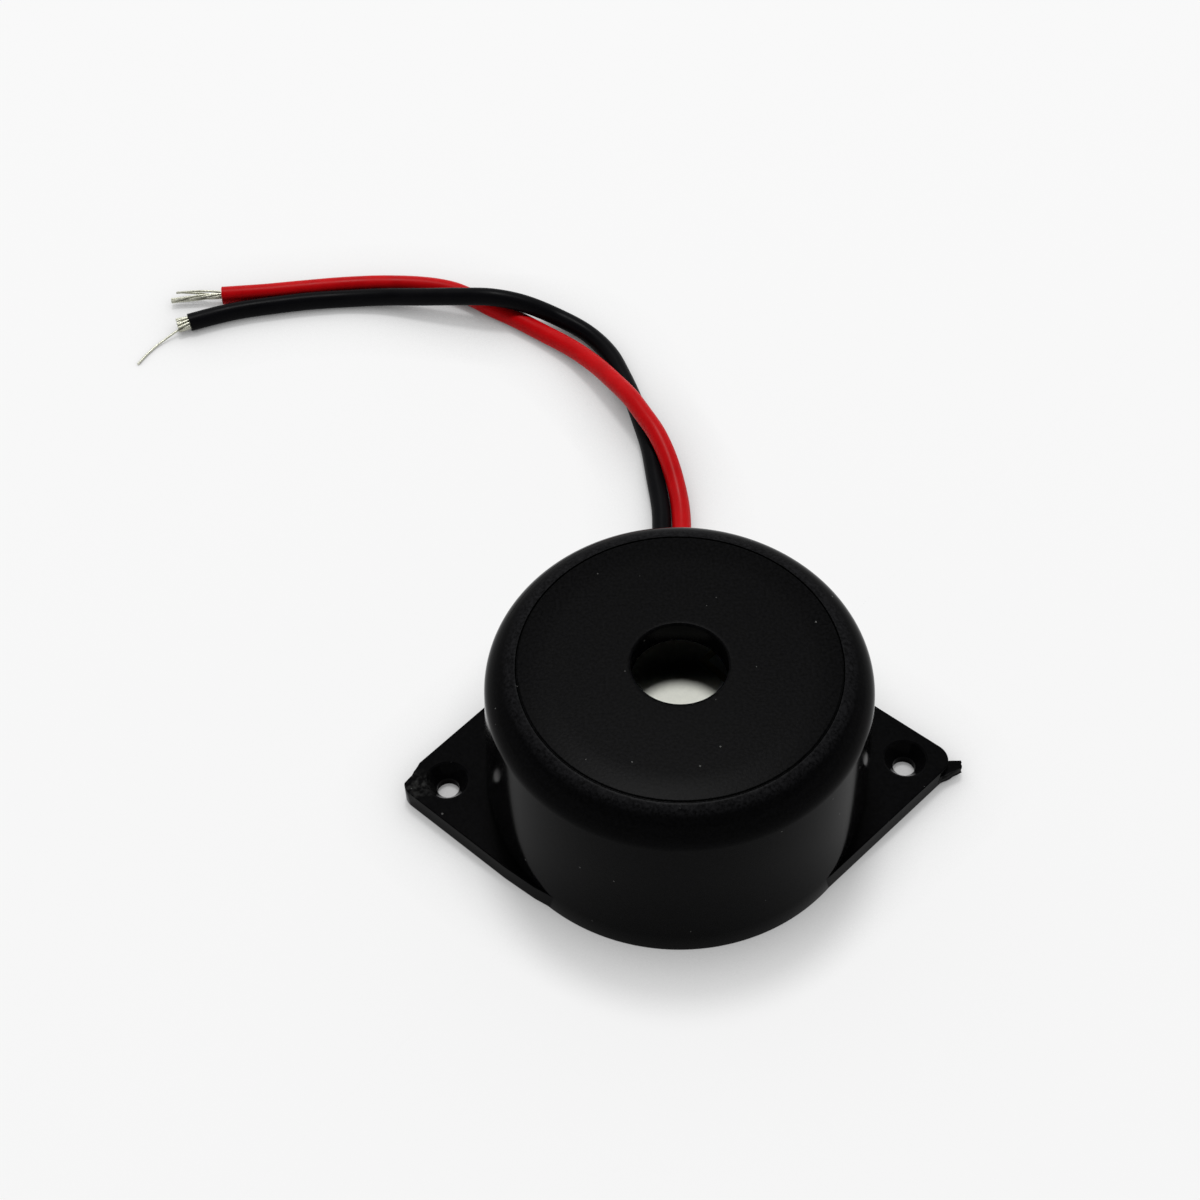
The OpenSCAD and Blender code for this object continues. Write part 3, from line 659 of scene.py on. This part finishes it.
class BUZZER_OT_housing(bpy.types.Operator):
    """Build the housing: drafted wall with a rounded edge, ears, ledge, ribs, notch and channel"""
    bl_idname = "buzzer.housing"
    bl_label = "Housing"

    def execute(self, context):
        s, colours = context.scene.buzzer_housing, context.scene.buzzer_finishes
        housing = self.wall(s)
        combine(housing, self.ears(s), "UNION")
        for turn in (45, 135, 225, 315):
            block("rib", (s.ledge, -s.rib / 2, s.board_top),
                  (s.bore + 0.3 * MM, s.rib / 2, s.seat - 0.3 * MM))
            bpy.ops.transform.rotate(value=math.radians(turn), orient_axis="Z", center_override=(0, 0, 0))
            combine(housing, named("rib"), "UNION")
        notch = block("notch", (-s.notch / 2, s.bore - 1.5 * MM, -MM),
                      (s.notch / 2, s.foot + MM, s.notch_top))
        select_edges(notch, lambda e: all(abs(v.co.z - s.notch_top) < 1e-6 for v in e.verts)
                     and abs(e.verts[0].co.x - e.verts[1].co.x) < 1e-6)
        bpy.ops.mesh.bevel(offset=s.notch_round, segments=4, affect="EDGES")
        combine(housing, named("notch"), "DIFFERENCE")
        block("channel", (-s.channel / 2, s.ledge - MM, s.channel_floor),
              (s.channel / 2, s.channel_wall, s.channel_top))
        combine(housing, named("channel"), "DIFFERENCE")
        smooth(housing)
        # A pale factor of 3 paints sheen on the housing's rounded upper rim
        dress(housing, moulded_black("housing_black", colours, pale=3.0), "black_housing", "base_housing")
        return {"FINISHED"}

    def wall(self, s):
        """The round wall: drafted outside, rounded upper edge, lip at the groove and the plate's ledge."""
        rim = (s.wall - s.rim_round, s.top - s.rim_round)
        lean = math.degrees(math.atan2(s.foot - s.wall, rim[1]))
        # Angle on the rounded edge at which its lip begins
        begin = math.degrees(math.acos((s.bore + s.lip_round - rim[0]) / s.rim_round))
        lip = rim[1] + s.rim_round * math.sin(math.radians(begin))
        foot = arc((s.foot - s.foot_round, s.foot_round), s.foot_round, 270, 360 + lean, 3)
        edge = arc(rim, s.rim_round, lean, begin, 28)[:-1]
        # Rings just above the ears keep their joint from bending the light higher up
        rings = []
        for height in (s.ear_thick + 0.1 * MM, s.ear_thick + 0.35 * MM, 6 * MM):
            part = (height - foot[-1][1]) / (edge[0][1] - foot[-1][1])
            rings.append((foot[-1][0] + part * (edge[0][0] - foot[-1][0]), height))
        section = (
            [(s.bore, 0)] + foot + rings + edge
            + arc((s.bore + s.lip_round, lip - s.lip_round), s.lip_round, 90, 180, 4)
            + [(s.bore, s.seat), (s.ledge, s.seat), (s.ledge, s.seat - s.ledge_thick),
               (s.bore, s.seat - s.ledge_thick)])
        return lathe("moulded_housing", section, s.steps)

    def ears(self, s):
        """Both ears as one plate, open in the middle, with their holes, trimmed left tip and runner stub."""
        deselect()
        bpy.ops.mesh.primitive_cylinder_add(vertices=s.steps, radius=s.root, depth=s.ear_thick,
                                            enter_editmode=True)
        # The tips, and points where the ears' sides run out into the wall
        rounds = [(-s.tip, 0, s.tip_radius), (s.tip, -0.1 * MM, s.tip_radius)]
        for x, y in EAR_SIDES:
            rounds.append((x * MM, y * MM, 0.03 * MM))
        for x, y, radius in rounds:
            bpy.ops.mesh.primitive_cylinder_add(vertices=64 if radius > MM else 8, radius=radius,
                                                depth=s.ear_thick, location=(x, y, 0))
        bpy.ops.mesh.select_all(action="SELECT")
        bpy.ops.mesh.convex_hull()
        bpy.ops.mesh.select_all(action="SELECT")
        bpy.ops.mesh.dissolve_limited(angle_limit=math.radians(0.1))
        bpy.ops.transform.translate(value=(0, 0, s.ear_thick / 2))
        plate = bpy.context.object
        select_edges(plate, lambda e: abs(e.verts[0].co.z - e.verts[1].co.z) < 1e-6)
        bpy.ops.mesh.bevel(offset=s.edge, segments=3, affect="EDGES")
        plate = named("ears")
        inside = (s.bore + s.root) / 2
        middle = [(0, -MM), (inside, -MM), (inside, s.ear_thick + MM), (0, s.ear_thick + MM)]
        combine(plate, lathe("middle", middle, s.steps), "DIFFERENCE")
        top, soft = s.ear_thick, s.hole_round
        for side in (-1, 1):
            bit = ([(0, -MM), (s.hole, -MM), (s.hole, top - s.sink_depth), (s.sink - soft, top - soft),
                    (s.sink + soft, top - 0.3 * soft), (s.sink + 2 * soft, top + 0.3 * soft),
                    (s.sink + 2 * soft, top + MM), (0, top + MM)])
            drill = lathe("drill", bit, 96)
            pick(drill)
            bpy.ops.object.mode_set(mode="EDIT")
            bpy.ops.mesh.select_all(action="SELECT")
            bpy.ops.transform.translate(value=(side * s.hole_place, 0, 0))
            combine(plate, named("drill"), "DIFFERENCE")
        self.trim(s, plate)
        self.stub(s, plate)
        return plate

    def trim(self, s, plate):
        """Pare the left tip with an uneven cutter, as the gate was trimmed."""
        reach = 2 * s.tip_radius
        block("cutter", (s.trim, -reach, -MM), (s.trim + reach, reach, s.ear_thick + MM))
        bpy.ops.mesh.subdivide(number_cuts=11)
        bpy.ops.transform.vertex_random(offset=0.15 * MM, seed=5)
        # Without a window the turn goes the other way
        bpy.ops.transform.rotate(value=-s.trim_angle, orient_axis="Z", center_override=(0, 0, 0))
        bpy.ops.transform.translate(value=(-s.tip, 0, 0))
        combine(plate, named("cutter"), "DIFFERENCE")

    def stub(self, s, plate):
        """Weld on the ragged stub of the runner that broke off the right tip."""
        end = s.tip + s.tip_radius
        stub = block("stub", (end - 0.7 * MM, -1.3 * MM, 0.1 * MM), (end + 0.9 * MM, 0, 1.05 * MM))
        select_faces(stub, lambda f: f.normal.x > 0.9)
        bpy.ops.transform.resize(value=(1, 0.4, 0.7), center_override=(end + 0.9 * MM, -0.1 * MM, 0.95 * MM))
        bpy.ops.mesh.select_all(action="SELECT")
        bpy.ops.mesh.subdivide(number_cuts=5)
        bpy.ops.transform.vertex_random(offset=0.06 * MM, seed=3)
        combine(plate, named("stub"), "UNION")


class BUZZER_OT_resin(bpy.types.Operator):
    """Dish the cast resin that closes the base"""
    bl_idname = "buzzer.resin"
    bl_label = "Resin"

    def execute(self, context):
        colours = context.scene.buzzer_finishes
        source = bpy.data.objects["potting"]
        resin = bpy.data.objects.new("cast_resin", source.data.copy())
        context.collection.objects.link(resin)
        pick(resin)
        bpy.ops.object.mode_set(mode="EDIT")
        bpy.ops.mesh.select_all(action="SELECT")
        bpy.ops.mesh.remove_doubles(threshold=WELD)
        bpy.ops.mesh.dissolve_limited(angle_limit=math.radians(0.5))
        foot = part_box("potting")[0][2]
        select_faces(resin, lambda f: f.normal.z < -0.99 and abs(f.calc_center_median().z - foot) < 1e-6)
        for step, rise in ((0.15, 0.07), (0.2, 0.04), (0.3, 0.02)):
            bpy.ops.mesh.inset(thickness=step * MM)
            bpy.ops.transform.translate(value=(0, 0, rise * MM))
        bpy.ops.object.mode_set(mode="OBJECT")
        smooth(resin, 35)
        finish = Finish("cast_resin", colours.resin, 0.22, **{"Specular IOR Level": 0.4})
        cells = finish.add("TexVoronoi", {"Vector": finish.place, "Scale": 0.8})
        pits = finish.spread(cells.outputs["Distance"], 0.05, 0.16, 0.0, 1.0)
        finish.bump(finish.math("ADD", pits, finish.noise(0.4, 2.0)), 0.5, 0.08 * MM)
        finish.set(finish.shader, {"Roughness": finish.spread(finish.noise(0.6, 3.0), 0.3, 0.7, 0.16, 0.32)})
        dress(resin, finish.material, "resin", "potting")
        return {"FINISHED"}


class BUZZER_OT_inner(bpy.types.Operator):
    """Give the inner CAD pieces their finishes"""
    bl_idname = "buzzer.inner"
    bl_label = "Inner pieces"

    def execute(self, context):
        colours = context.scene.buzzer_finishes
        solder = tinned("solder", (0.55, 0.56, 0.58), 0.3)
        finishes = {
            "piezo_plate": tinned("plate_metal", (0.48, 0.46, 0.38), 0.32),
            "piezo_ceramic": mottled("piezo_cream", (0.65, 0.6, 0.45), 0.6, 2.0, 0.12),
            "silver_electrode": mottled("fired_silver", colours.silver, 0.62, 3.0, 0.06),
            "adhesive_ring": mottled("silicone", (0.68, 0.68, 0.64), 0.35, 0.8, 0.08),
            "circuit_board": mottled("board_paper", (0.34, 0.19, 0.06), 0.55, 1.2, 0.25),
            "transistor": mottled("moulded_black", (0.012, 0.012, 0.013), 0.5, 3.0, 0.2),
            "load_resistor": mottled("load_coat", (0.58, 0.42, 0.21), 0.35, 1.5, 0.1),
            "bias_resistor": mottled("bias_coat", (0.58, 0.42, 0.21), 0.35, 1.5, 0.1),
            "feedback_resistor": mottled("feedback_coat", (0.58, 0.42, 0.21), 0.35, 1.5, 0.1),
            "main_jumper": soft_cover("white_cover", (0.72, 0.7, 0.66), 0.4),
            "plate_jumper": soft_cover("black_cover", (0.006, 0.006, 0.007), 0.4),
            "feedback_jumper": soft_cover("blue_cover", (0.022, 0.073, 0.342), 0.4),
            "element_solder": solder,
            "board_solder": solder,
        }
        for node, finish in finishes.items():
            piece = bpy.data.objects[node]
            piece.data.materials.clear()
            piece.data.materials.append(finish)
        return {"FINISHED"}


STEPS = ("stage", "leads", "cap", "housing", "resin", "inner")


class BUZZER_PT_panel(bpy.types.Panel):
    """Sizes, colours and steps of the buzzer"""
    bl_idname = "BUZZER_PT_panel"
    bl_label = "Buzzer"
    bl_space_type = "VIEW_3D"
    bl_region_type = "UI"
    bl_category = "Buzzer"

    def draw(self, context):
        for step in STEPS:
            self.layout.operator(f"buzzer.{step}")
        for group in GROUPS:
            box = self.layout.box()
            values = getattr(context.scene, group)
            for key in values.bl_rna.properties.keys():
                if key not in ("rna_type", "name"):
                    box.prop(values, key)


GROUPS = {"buzzer_cap": CapSizes, "buzzer_housing": HousingSizes, "buzzer_leads": LeadSizes,
          "buzzer_finishes": Finishes, "buzzer_stage": StageValues}
CLASSES = (*GROUPS.values(), BUZZER_OT_stage, BUZZER_OT_leads, BUZZER_OT_cap, BUZZER_OT_housing,
           BUZZER_OT_resin, BUZZER_OT_inner, BUZZER_PT_panel)


def register():
    for cls in CLASSES:
        bpy.utils.register_class(cls)
    for name, group in GROUPS.items():
        setattr(bpy.types.Scene, name, PointerProperty(type=group))


def unregister():
    for name in GROUPS:
        delattr(bpy.types.Scene, name)
    for cls in reversed(CLASSES):
        bpy.utils.unregister_class(cls)


def main():
    register()
    for step in STEPS:
        getattr(bpy.ops.buzzer, step)()
    deselect()


if __name__ == "__main__":
    main()
